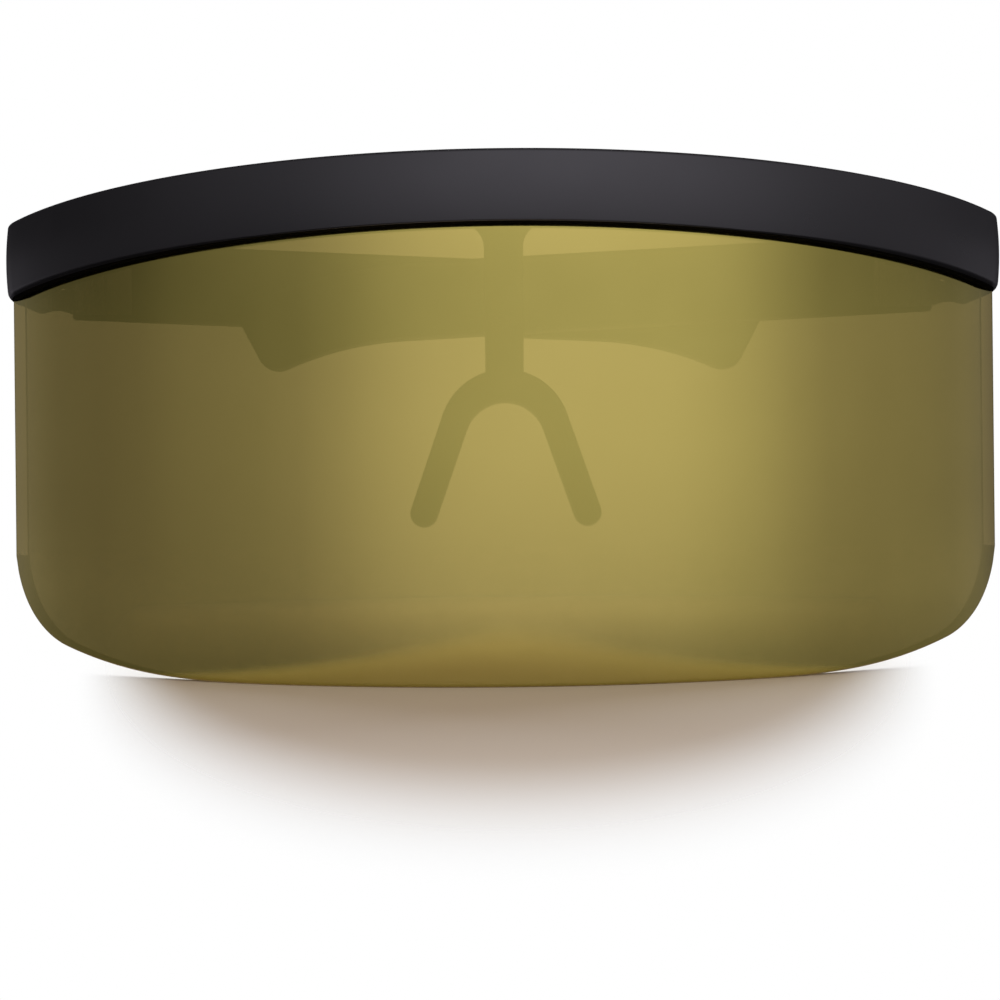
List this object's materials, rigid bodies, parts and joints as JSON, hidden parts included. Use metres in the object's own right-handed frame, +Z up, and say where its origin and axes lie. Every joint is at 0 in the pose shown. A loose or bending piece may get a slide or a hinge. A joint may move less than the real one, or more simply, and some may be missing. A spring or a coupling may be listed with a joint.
{
  "type": "shield sunglasses",
  "caption": "Shield sunglasses: a wide curved mirror lens hung in an arched brow bar, with a nose piece behind it and folding temples.",
  "frame": {"origin": "middle of the nose saddle, under the arch of the nose piece", "axes": "+X to the wearer's left, +Y towards the wearer, +Z up as worn; the lens faces -Y"},
  "size_m": [0.154, 0.0674, 0.0693],
  "materials": {
    "black_plastic": "fine satin moulding",
    "mirror_lens": "gold mirror coat on tinted polycarbonate",
    "steel": "plain"
  },
  "bodies": {
    "front": {"brow_bar": "black_plastic", "lens": "mirror_lens", "nose_piece": "black_plastic", "lens_screws": "steel", "nose_screws": "steel", "front_hinge_left": "steel", "hinge_screw_left": "steel", "front_hinge_rivets_left": "steel", "front_hinge_right": "steel", "hinge_screw_right": "steel", "front_hinge_rivets_right": "steel"},
    "left_temple": {"temple_left": "black_plastic", "temple_hinge_left": "steel", "temple_hinge_rivets_left": "steel"},
    "right_temple": {"temple_right": "black_plastic", "temple_hinge_right": "steel", "temple_hinge_rivets_right": "steel"}
  },
  "joints": [
    {"name": "left_temple_hinge", "type": "hinge", "parent": "front", "child": "left_temple", "pos_m": [0.0706, 0.04248, 0.02337], "axis": [0, 0, -1], "range_deg": [0, 91.25]},
    {"name": "right_temple_hinge", "type": "hinge", "parent": "front", "child": "right_temple", "pos_m": [-0.0706, 0.04248, 0.02337], "axis": [0, 0, 1], "range_deg": [0, 88.75]}
  ]
}
